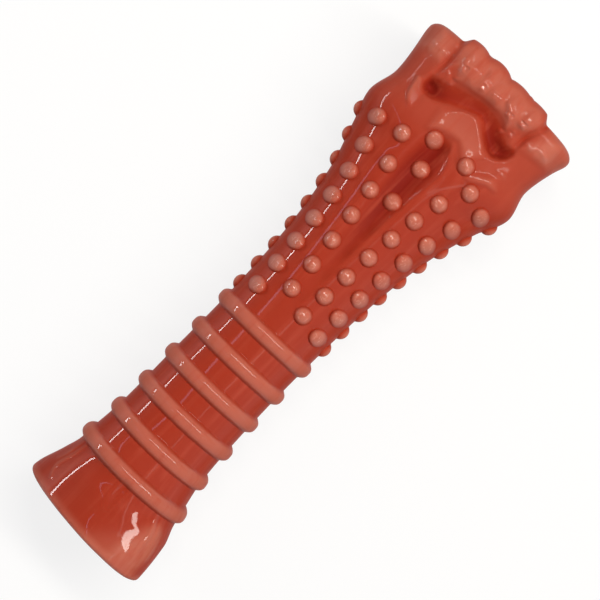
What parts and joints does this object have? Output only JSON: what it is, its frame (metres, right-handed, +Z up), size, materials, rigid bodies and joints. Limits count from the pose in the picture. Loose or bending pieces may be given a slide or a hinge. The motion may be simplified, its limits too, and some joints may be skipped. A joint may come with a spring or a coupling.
{
  "type": "nylon knuckle chew bone",
  "caption": "Red nylon dog chew bone with a flared foot, ringed shaft, nubbed shank and a lumpy knuckle head, lying level on its two ends.",
  "frame": {"origin": "on the floor under the middle of the bone, which lies on its foot and its head", "axes": "+X along the bone from the foot to the knuckle head, +Z up, +Y to the left of someone looking along +X"},
  "size_m": [0.1922, 0.0608, 0.0437],
  "materials": {
    "red_nylon": "gloss"
  },
  "bodies": {
    "root": {"foot": "red_nylon", "shaft": "red_nylon", "ring_1": "red_nylon", "ring_2": "red_nylon", "ring_3": "red_nylon", "ring_4": "red_nylon", "ring_5": "red_nylon", "ring_6": "red_nylon", "shank": "red_nylon", "head": "red_nylon", "nub_row_left_edge": "red_nylon", "nub_row_right_edge": "red_nylon", "nub_row_left_outer": "red_nylon", "nub_row_left_inner": "red_nylon", "nub_row_right_inner": "red_nylon", "nub_row_right_outer": "red_nylon", "nub_row_left_outer_below": "red_nylon", "nub_row_left_inner_below": "red_nylon", "nub_row_right_inner_below": "red_nylon", "nub_row_right_outer_below": "red_nylon", "flute_nub_1": "red_nylon", "flute_nub_2": "red_nylon", "lip_nub_1": "red_nylon", "lip_nub_2": "red_nylon", "flute_nub_1_below": "red_nylon", "flute_nub_2_below": "red_nylon", "lip_nub_1_below": "red_nylon", "lip_nub_2_below": "red_nylon"}
  },
  "joints": []
}
